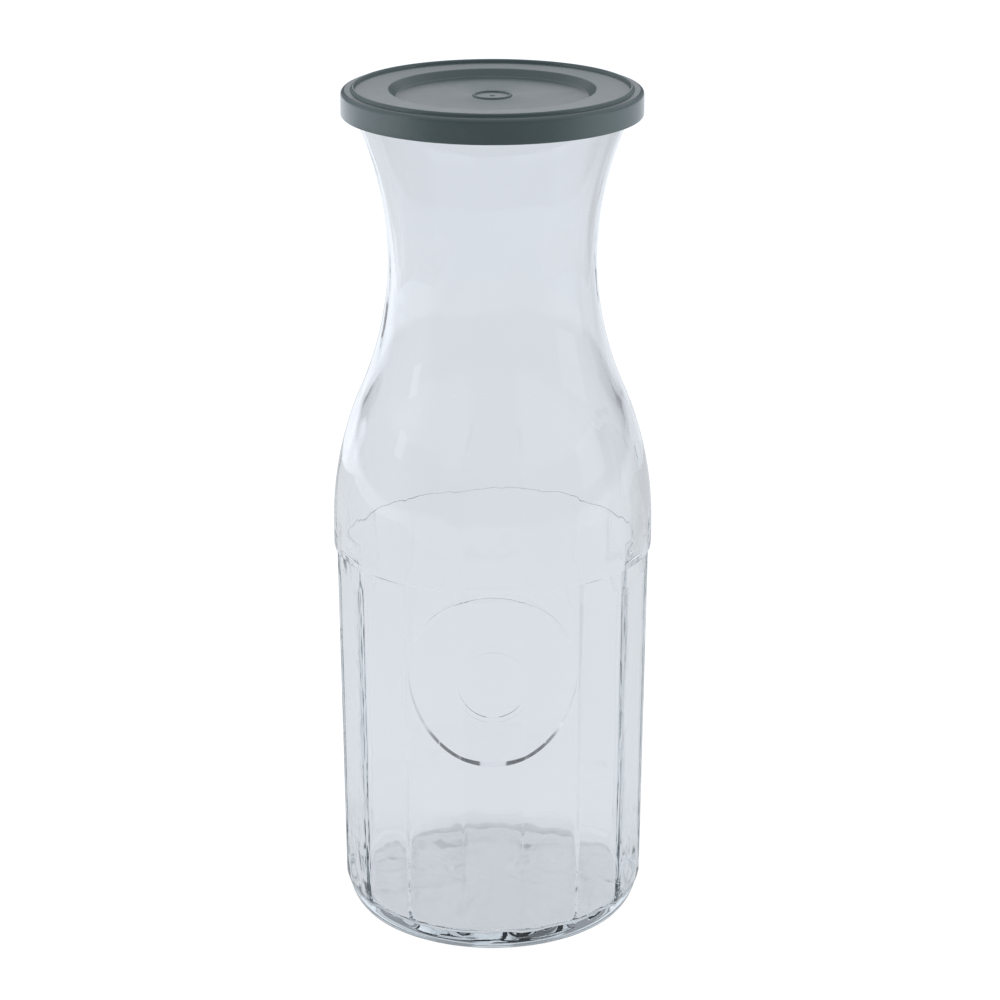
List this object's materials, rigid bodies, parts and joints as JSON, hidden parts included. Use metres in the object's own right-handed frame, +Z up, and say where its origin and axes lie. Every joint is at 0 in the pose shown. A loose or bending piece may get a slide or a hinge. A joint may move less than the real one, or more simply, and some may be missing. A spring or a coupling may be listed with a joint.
{
  "type": "carafe with lid",
  "caption": "Clear glass table carafe with a flared mouth, waisted neck, round shoulder and panelled body with a blank medallion, closed by a lift-off moulded plastic lid.",
  "frame": {"origin": "middle of the ring that the carafe stands on, at table height", "axes": "+Z up along the axis of the carafe, -Y out through the medallion on the front"},
  "size_m": [0.0966, 0.0968, 0.258],
  "materials": {
    "clear_glass": "clear pressed and blown soda-lime glass, fire polished",
    "lid_plastic": "satin dark grey-green soft polyethylene"
  },
  "bodies": {
    "carafe": {"glass_carafe": "clear_glass"},
    "lid": {"lid": "lid_plastic"}
  },
  "joints": [
    {"name": "lid_lift", "type": "slide", "parent": "carafe", "child": "lid", "axis": [0, 0, 1], "range_m": [0, 0.08]}
  ]
}
